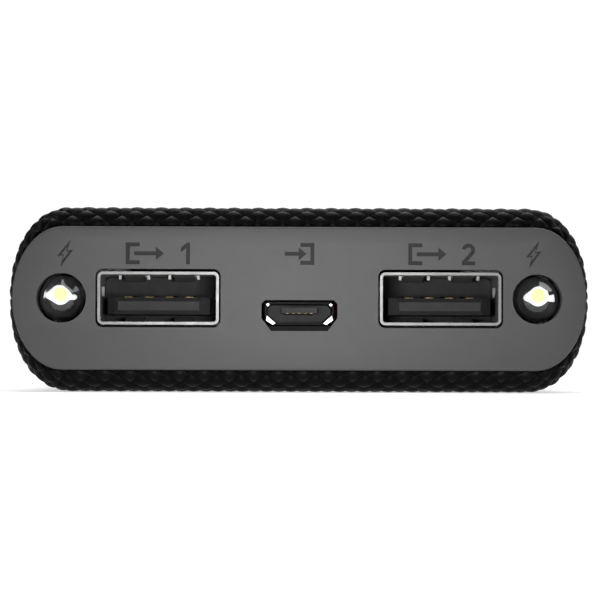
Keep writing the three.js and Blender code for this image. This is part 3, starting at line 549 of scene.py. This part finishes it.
# ------------------------------------------------------------------ USB-A sockets
# Each is a nickel-plated steel shell, folded from sheet, with spring fingers cut from it, round a black
# moulded tongue that carries four gold-plated contacts. The legs are soldered through the board.

nickel = finish(
    "nickel_plate", (0.19, 0.19, 0.188), roughness=0.55, grain=0.15 * mm, depth=0.002 * mm, mottle=0.06,
    stretch=(1, 0.15, 1), Metallic=1.0,
)
socket_black = finish(
    "socket_black", (0.016, 0.016, 0.0165), roughness=0.65, grain=0.1 * mm, depth=0.003 * mm,
    mottle=0.12, Specular_IOR_Level=0.2,
)
gold = finish(
    "gold_plate", (0.3, 0.22, 0.11), roughness=0.5, grain=0.1 * mm, depth=0.001 * mm, mottle=0.06,
    Metallic=1.0,
)
tongue_half_width = 5.55 * mm
tongue_taper = 1.15 * mm
cutter_margin = 1 * mm
cutter_height = 6 * mm
socket_middle = {}


def closed_piece(name, points, faces, edge=0.0):
    """A closed body from its points and faces, its edges rounded if a width is given for them."""
    mesh = bpy.data.meshes.new(name)
    mesh.from_pydata(points, [], faces)
    shape = bmesh.new()
    shape.from_mesh(mesh)
    if edge:
        bmesh.ops.bevel(
            shape, geom=shape.edges[:], offset=edge, segments=2, affect="EDGES", profile=0.5
        )
    bmesh.ops.recalc_face_normals(shape, faces=shape.faces)
    shape.to_mesh(mesh)
    shape.free()
    return placed(name, mesh)


def flat_piece(name, outline, start, end, upright=False):
    """A piece of even thickness: an outline in X and Z between two places along Y, or an upright one, its
    outline in X and Y between two heights."""
    count = len(outline)
    ends = [(a, b, place) for place in (start, end) for a, b in outline]
    points = ends if upright else [(a, place, b) for a, b, place in ends]
    faces = [tuple(range(count)), tuple(reversed(range(count, 2 * count)))]
    for i in range(count):
        after = (i + 1) % count
        faces.append((after, i, count + i, count + after))
    return closed_piece(name, points, faces)


for number in "12":
    dress("usb_shell_" + number, nickel, edge=0.04 * mm)
    shell_low, shell_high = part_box("usb_shell_" + number)
    socket_middle[number] = (shell_low.x + shell_high.x) / 2
    tongue = welded_copy("usb_tongue_" + number, "usb_tongue_tapered_" + number)
    tongue_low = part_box("usb_tongue_" + number)[0]
    cutter_low = tongue_low.z - cutter_margin
    for side in (-1, 1):
        edge = socket_middle[number] + side * tongue_half_width
        taper = [
            (edge + side * cutter_margin, tongue_low.y - cutter_margin),
            (edge - side * (tongue_taper + cutter_margin), tongue_low.y - cutter_margin),
            (edge + side * cutter_margin, tongue_low.y + tongue_taper + cutter_margin),
        ]
        cutter = flat_piece("taper", taper, cutter_low, tongue_low.z + cutter_height, upright=True)
        combine(tongue, cutter, "DIFFERENCE")
    on_case(tongue, socket_black)
    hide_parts("usb_tongue_" + number)
    for letter in "abcd":
        dress("usb_contact_" + number + letter, gold, edge=0.04 * mm)

# ------------------------------------------------------------------ Micro-USB socket
# A small nickel-plated shell of steel sheet, wide side up, with slanted lower flanks; its plating is
# painted near black, painted shade for the shade it sits in. Four lips bent outwards at its mouth are
# painted bright as painted glints, and the black tongue inside has five contacts underneath.

micro_low, micro_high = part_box("micro_shell")
mouth_drop = 1.25 * mm  # of the middle of the mouth under the top of the shell
micro_middle = micro_high.z - mouth_drop
lip_start = 0.03 * mm  # of a lip's inner edge in front of the mouth
lip_lean = 0.1 * mm  # of its outer edge
lip_thickness = 0.05 * mm
lip_edge = 0.015 * mm
flank_lip = ((2.55, -1.06), (3.52, -0.22), (3.6, -0.76), (2.9, -1.22))  # millimetres in X and Z
corner_lip = ((3.2, 0.92), (3.42, 0.74), (3.6, 0.96), (3.36, 1.12))
# painted shade: the shell's nickel is painted near black for the shade in the socket's mouth
shade_painted_nickel = finish(
    "shade_painted_nickel", (0.01, 0.01, 0.01), roughness=0.65, grain=0.1 * mm, depth=0.002 * mm, mottle=0.1,
    Metallic=1.0,
)
# painted glint: the lips' near-white tone stands in for the glints on the flanks and corners of the mouth
glint_painted_nickel = finish(
    "glint_painted_nickel", (0.9, 0.9, 0.89), roughness=0.5, grain=0.1 * mm, depth=0.001 * mm, mottle=0.03,
    Metallic=0.4,
)


def lip(name, corners, side):
    """A patch of the shell's mouth, bent outwards and painted bright as a painted glint: four corners from
    the middle of the mouth, the two inner ones first, on the right (1) or the left (-1)."""
    points = []
    for back in (0, lip_thickness):
        for at, (x, z) in enumerate(corners):
            forward = lip_start if at < 2 else lip_lean
            points.append((side * x * mm, micro_low.y - forward + back, micro_middle + z * mm))
    faces = [(0, 1, 2, 3), (7, 6, 5, 4), (0, 4, 5, 1), (1, 5, 6, 2), (2, 6, 7, 3), (3, 7, 4, 0)]
    on_case(closed_piece(name, points, faces, lip_edge), glint_painted_nickel)


dress("micro_shell", shade_painted_nickel, edge=0.05 * mm)
for name, side in (("left", -1), ("right", 1)):
    lip("micro_flare_" + name, flank_lip, side)
    lip("micro_corner_" + name, corner_lip, side)
dress("micro_tongue", socket_black, edge=0.04 * mm)
for number in "12345":
    dress("micro_contact_" + number, gold, edge=0.02 * mm)

# ------------------------------------------------------------------ torch LEDs
# Two 5 mm LEDs of clear epoxy, cast in a dome over a steel frame: a stamped cup with the chip under its
# yellow phosphor, and a post with the chip's wire. The cup, post, wire and phosphor glow as painted light,
# in place of the light that reaches them through the dome, which magnifies the cup. A dark collar and
# anvil behind it stand for the shade inside.

clear_epoxy = finish(
    "clear_epoxy", (0.94, 0.96, 0.98), roughness=0.05, grain=0.6 * mm, depth=0.0001 * mm, mottle=0.02,
    Transmission_Weight=1.0, IOR=1.53,
)
lead_steel = finish(
    "lead_steel", (0.5, 0.5, 0.5), roughness=0.35, grain=0.1 * mm, depth=0.002 * mm, mottle=0.08,
    Metallic=1.0,
)
# painted light: the cup and post glow in place of the light that reaches them through the dome
cup_painted_glow = finish(
    "cup_painted_glow", (0.9, 0.9, 0.9), roughness=0.4, grain=0.1 * mm, depth=0.001 * mm, mottle=0.03,
    Emission_Color=(1, 1, 1, 1), Emission_Strength=1.0,
)
# painted light: the phosphor glows yellow in place of the light that reaches it through the dome
phosphor = finish(
    "phosphor", (0.9, 0.8, 0.3), roughness=0.5, grain=0.05 * mm, depth=0.001 * mm, mottle=0.05,
    Emission_Color=(1, 0.96, 0.42, 1), Emission_Strength=0.9,
)
# painted light: the wire glows faintly in place of the light that reaches it through the dome
wire_painted_glow = finish(
    "wire_painted_glow", (0.25, 0.25, 0.25), roughness=0.5, grain=0.1 * mm, depth=0.001 * mm, mottle=0.05,
    Emission_Color=(1, 1, 1, 1), Emission_Strength=0.1,
)
shaded_frame = finish(
    "shaded_frame", (0.012, 0.012, 0.0125), roughness=0.7, grain=0.1 * mm, depth=0.002 * mm,
    mottle=0.08,
)
led_steps = 48
pin_steps = 24
anvil_steps = 32
dome_radius = 2.5 * mm
dome_steps = 14
dome_flat = 0.4  # of a step, left flat at the tip
flange_depth = 1 * mm
cup_depth = 4.7 * mm  # of the glowing cup behind the tip of the dome
cup_radius = 0.33 * mm
cup_thickness = 0.1 * mm
cup_places = {"left": -0.25 * mm, "right": 0.31 * mm}  # of the glowing cups from the LEDs' middles
cup_rise = 0.16 * mm
wing_lengths = {"left": (0.42 * mm, 0.42 * mm), "right": (0.5 * mm, 0.35 * mm)}
wing_drop = 0.04 * mm
wing_taper = 12
phosphor_rise = 0.04 * mm  # over the cup's middle
post_places = {"left": 0.17 * mm, "right": 0.68 * mm}  # of the posts from the LEDs' middles
post_rise = 0.1 * mm
wire_thickness = 0.05 * mm
wire_end_place = (0.54 * mm, 0.22 * mm)  # from the cup's middle
# millimetres: the wire in X and Z from the cup's middle, and turned pieces as radius and place along Y
wire_outline = ((0.07, 0.44), (0.49, 0.13), (0.44, 0.08), (0.02, 0.39))
phosphor_profile = ((0.14, -0.06), (0.23, -0.04), (0.27, 0.02))  # from the cup
post_profile = ((0.05, -0.1), (0.09, 0), (0.09, 0.2))
wire_end_profile = ((0.06, -0.04), (0.09, 0), (0.09, 0.1))
anvil_front = ((1.5, 0.3), (1.5, 0.5))
anvil_back = ((0.5, -0.3),)  # from the back of the LED
collar_front = ((2.42, 2.2), (1.5, 2.3))  # from the tip of the dome
collar_back = ((1.5, -0.4), (2.42, -0.4))  # from the back of the LED


def turned(name, profile, place, steps=led_steps, hollow=False):
    """A body turned about a line along Y through a place. The profile gives radius and place along Y;
    a hollow body's profile goes all round its wall."""
    rings = profile + profile[:1] if hollow else profile
    points, faces = [], []
    for radius, y in profile:
        for i in range(steps):
            angle = 2 * math.pi * i / steps
            points.append(
                (place[0] + radius * math.cos(angle), y, place[1] + radius * math.sin(angle))
            )
    for j in range(len(rings) - 1):
        for i in range(steps):
            after = (i + 1) % steps
            low, high = j * steps, (j + 1) % len(profile) * steps
            faces.append((low + i, low + after, high + after, high + i))
    if not hollow:
        faces.append(tuple(reversed(range(steps))))
        faces.append(tuple((len(rings) - 1) * steps + i for i in range(steps)))
    return closed_piece(name, points, faces)


def dome_profile(flange_radius, tip, back):
    """The epoxy body's profile: a flange, a cylinder and a dome."""
    profile = [
        (flange_radius, back), (flange_radius, back - flange_depth), (dome_radius, back - flange_depth),
    ]
    for i in range(dome_steps + 1):
        angle = math.pi / 2 * i / (dome_steps + dome_flat)
        profile.append((dome_radius * math.cos(angle), tip + dome_radius * (1 - math.sin(angle))))
    return profile


def behind(start, profile):
    """A profile in metres, from one in millimetres whose places along Y run back from a start."""
    return [(radius * mm, start + back * mm) for radius, back in profile]


def cup_outline(wings, count=40):
    """The glowing cup as it is stamped: a round middle with a narrower wing to each side."""
    points = []
    for i in range(count):
        angle = 2 * math.pi * i / count
        wing = abs(math.cos(angle)) ** wing_taper
        reach = cup_radius + (wings[math.cos(angle) > 0] - cup_radius) * wing
        points.append((reach * math.cos(angle), reach * math.sin(angle) - wing_drop * wing))
    return points


for side in ("left", "right"):
    for letter in "ab":
        dress("torch_lead_" + side + "_" + letter, lead_steel, edge=0.05 * mm)
    low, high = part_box("torch_led_" + side)
    middle = ((low.x + high.x) / 2, (low.z + high.z) / 2)
    tip, back = low.y, high.y
    body = turned("torch_dome_" + side, dome_profile((high.x - low.x) / 2, tip, back), middle)
    on_case(body, clear_epoxy)
    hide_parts("torch_led_" + side)
    cup = tip + cup_depth
    cup_x, cup_z = middle[0] + cup_places[side], middle[1] + cup_rise
    outline = [(cup_x + x, cup_z + z) for x, z in cup_outline(wing_lengths[side])]
    on_case(flat_piece("torch_cup_" + side, outline, cup, cup + cup_thickness), cup_painted_glow)
    chip_place = (cup_x, cup_z + phosphor_rise)
    chip = turned("torch_phosphor_" + side, behind(cup, phosphor_profile), chip_place, pin_steps)
    on_case(chip, phosphor)
    post_place = (middle[0] + post_places[side], middle[1] + post_rise)
    post = turned("torch_post_" + side, behind(cup, post_profile), post_place, pin_steps)
    on_case(post, cup_painted_glow)
    wire = [(cup_x + x * mm, cup_z + z * mm) for x, z in wire_outline]
    on_case(flat_piece("torch_wire_" + side, wire, cup, cup + wire_thickness), wire_painted_glow)
    end_place = (cup_x + wire_end_place[0], cup_z + wire_end_place[1])
    wire_end = turned("torch_wire_end_" + side, behind(cup, wire_end_profile), end_place, pin_steps)
    on_case(wire_end, wire_painted_glow)
    collar_profile = behind(tip, collar_front) + behind(back, collar_back)
    collar = turned("torch_collar_" + side, collar_profile, middle, hollow=True)
    on_case(collar, shaded_frame)
    anvil_profile = behind(cup, anvil_front) + behind(back, anvil_back)
    anvil = turned("torch_anvil_" + side, anvil_profile, middle, anvil_steps)
    on_case(anvil, shaded_frame)

# ------------------------------------------------------------------ switch, button and lights
# The button slides in a charcoal trim in the side of the case and presses the plunger of a switch on the
# board. Four light pins of one milky guide show beside it, over four small LEDs.

trim_plastic = finish(
    "trim_plastic", (0.03, 0.0305, 0.033), roughness=0.45, grain=0.12 * mm, depth=0.005 * mm,
    mottle=0.1,
)
light_resin = finish(
    "light_resin", (0.8, 0.8, 0.78), roughness=0.3, grain=0.2 * mm, depth=0.001 * mm, mottle=0.04,
    Subsurface_Weight=0.4, Transmission_Weight=0.3,
)
dress("key_trim", trim_plastic, edge=0.15 * mm)
dress("power_button", trim_plastic, edge=0.2 * mm)
dress("light_guide", light_resin, edge=0.1 * mm)
dress("switch_body", chip_black, edge=0.08 * mm)
dress("switch_cover", nickel, edge=0.04 * mm)
dress("switch_plunger", chip_black, edge=0.08 * mm)
for number in "1234":
    dress("indicator_led_" + number, light_resin, edge=0.05 * mm)

# ------------------------------------------------------------------ battery
# Two lithium pouch cells in dull aluminium foil, taped together between foam pads, with nickel tabs
# welded to a protection board and two silicone leads to the main board.

pouch_foil = finish(
    "pouch_foil", (0.62, 0.63, 0.65), roughness=0.4, grain=1.2 * mm, depth=0.05 * mm, mottle=0.06,
    Metallic=1.0,
)
tab_nickel = finish(
    "tab_nickel", (0.7, 0.69, 0.66), roughness=0.3, grain=0.2 * mm, depth=0.003 * mm, mottle=0.08,
    Metallic=1.0,
)
foam_black = finish(
    "foam_black", (0.02, 0.02, 0.02), roughness=0.95, grain=0.3 * mm, depth=0.06 * mm, mottle=0.3,
)
tape_cream = finish(
    "tape_cream", (0.7, 0.66, 0.55), roughness=0.8, grain=0.3 * mm, depth=0.01 * mm, mottle=0.08,
)
red_silicone = finish(
    "red_silicone", (0.12, 0.006, 0.005), roughness=0.5, grain=0.2 * mm, depth=0.004 * mm, mottle=0.1,
)
black_silicone = finish(
    "black_silicone", (0.01, 0.01, 0.01), roughness=0.5, grain=0.2 * mm, depth=0.004 * mm, mottle=0.1,
)
for layer in ("lower", "upper"):
    dress("cell_" + layer, pouch_foil, edge=0.3 * mm)
    dress("pad_" + layer, foam_black)
    for pole in ("plus", "minus"):
        dress("cell_tab_" + layer + "_" + pole, tab_nickel)
dress("cell_tape", tape_cream)
dress("positive_lead", red_silicone)
dress("negative_lead", black_silicone)

# ------------------------------------------------------------------ end panels
# Satin dark grey ABS plates that latch into both ends of the case. The port panel's small symbols are
# engraved and darkened: an arrow out of or into a bracket over each socket, and a bolt over each LED.

panel_plastic = finish(
    "panel_plastic", (0.06, 0.06, 0.0605), roughness=0.6, grain=0.1 * mm, depth=0.003 * mm, mottle=0.03,
    Specular_IOR_Level=0.15,
)
engraving = finish(
    "engraving", (0.028, 0.028, 0.0285), roughness=0.75, grain=0.08 * mm, depth=0.002 * mm, mottle=0.1,
    Specular_IOR_Level=0.04,
)
symbol_height = 4.83 * mm  # above the panel's middle
symbol_size = 2.35 * mm
stroke = 0.42 * mm
cut_depth = 0.18 * mm
cut_start = 0.2 * mm  # of a cutter in front of the panel's face
half = symbol_size / 2
bracket_place = -3.5 * mm  # of an output's bracket, arrow and figure from its socket's middle
out_arrow = (-2.6 * mm, 0.6 * mm)
figure_place = 3 * mm
in_arrow = (-1.6 * mm, 0.75 * mm)  # of the input's arrow and bracket from the panel's middle
in_bracket = 1.6 * mm
bolt_place = 25.3 * mm
bolt_depth = 0.12 * mm
bolt_core = 0.5  # size of the raised core left inside each bolt, so that its rim reads as a line
core_sink = 0.03 * mm
core_root = 0.3 * mm
symbol_band = (3.45 * mm, 6.45 * mm)  # above the panel's middle, with all engraved faces in it
symbol_reach = 27 * mm
engraved_range = (0.05 * mm, cut_depth + 0.01 * mm)  # behind the panel's face
panel_edge = 0.06 * mm


def bracket(x):
    """A square bracket whose open side is to the right; its back is at x."""
    reach = 1.5 * mm
    return [
        (x, -half), (x + reach, -half), (x + reach, -half + stroke), (x + stroke, -half + stroke),
        (x + stroke, half - stroke), (x + reach, half - stroke), (x + reach, half), (x, half),
    ]


def mirrored(points):
    """An outline turned left for right."""
    return [(-x, z) for x, z in reversed(points)]


def arrow(start, end):
    """An arrow pointing right."""
    head = 0.85 * mm
    spread = 0.72 * mm
    neck = end - head
    return [
        (start, -stroke / 2), (neck, -stroke / 2), (neck, -spread), (end, 0), (neck, spread),
        (neck, stroke / 2), (start, stroke / 2),
    ]


def figure_one(x):
    """The figure 1: an upright stroke with a slanted flag, in one outline."""
    flag = 0.55 * mm
    return [[
        (x, -half), (x + stroke, -half), (x + stroke, half), (x + 0.1 * mm, half),
        (x - flag, half - flag), (x - flag, half - 1.05 * mm), (x, half - 0.6 * mm),
    ]]


def figure_two(x):
    """The figure 2 in three outlines: an arc, a slanted neck and a foot."""
    radius = 0.72 * mm
    neck_width = 0.55 * mm
    lap = 0.05 * mm  # of the neck into the foot
    middle = half - radius
    angles = [math.radians(170 - 25 * i) for i in range(9)]
    outer = [(x + radius * math.cos(a), middle + radius * math.sin(a)) for a in angles]
    inner = [
        (x + (radius - stroke) * math.cos(a), middle + (radius - stroke) * math.sin(a)) for a in angles
    ]
    foot = -half + stroke
    return [
        list(reversed(outer)) + inner,
        [(x - radius, foot - lap), (x - radius + neck_width, foot - lap), outer[-1], inner[-1]],
        [(x - radius, -half), (x + radius, -half), (x + radius, foot), (x - radius, foot)],
    ]


def bolt(x, size=1.0):
    """A plain zigzag bolt."""
    shape = [
        (0.62, 1.5), (-0.85, -0.32), (-0.2, -0.26), (-0.5, -1.5), (0.87, 0.36), (0.25, 0.28),
    ]
    return [(x + size * a * mm, size * b * mm) for a, b in shape]


def at_symbols(outline):
    """An outline raised to the symbols' height."""
    return [(x, panel_middle.z + symbol_height + z) for x, z in outline]


def engrave(panel, outline, depth=cut_depth):
    """Sinks an outline into the panel's face."""
    cutter = flat_piece("cutter", at_symbols(outline), panel_low.y - cut_start, panel_low.y + depth)
    combine(panel, cutter, "DIFFERENCE")


def is_engraved(face):
    """Whether a face of the port panel lies in a symbol, below the panel's own face."""
    x, y, z = face.center
    sunk = engraved_range[0] < y - panel_low.y < engraved_range[1]
    in_band = symbol_band[0] < z - panel_middle.z < symbol_band[1]
    return sunk and in_band and abs(x) < symbol_reach


for name in ("port_panel", "rear_panel"):
    piece = welded_copy(name, name + "_finished")
    if name == "port_panel":
        for x, figure in ((socket_middle["1"], figure_one), (socket_middle["2"], figure_two)):
            engrave(piece, bracket(x + bracket_place))
            engrave(piece, arrow(x + out_arrow[0], x + out_arrow[1]))
            for part in figure(x + figure_place):
                engrave(piece, part)
        engrave(piece, mirrored(bracket(-in_bracket)))
        engrave(piece, arrow(*in_arrow))
        for x in (-bolt_place, bolt_place):
            engrave(piece, bolt(x), bolt_depth)
            core = at_symbols(bolt(x, bolt_core))
            filling = flat_piece("core", core, panel_low.y + core_sink, panel_low.y + core_root)
            combine(piece, filling, "UNION")
    on_case(piece, panel_plastic)
    piece.data.materials.append(engraving)
    if name == "port_panel":
        for face in piece.data.polygons:
            face.material_index = int(is_engraved(face))
    round_edges(piece, panel_edge, angle=45)
    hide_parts(name)
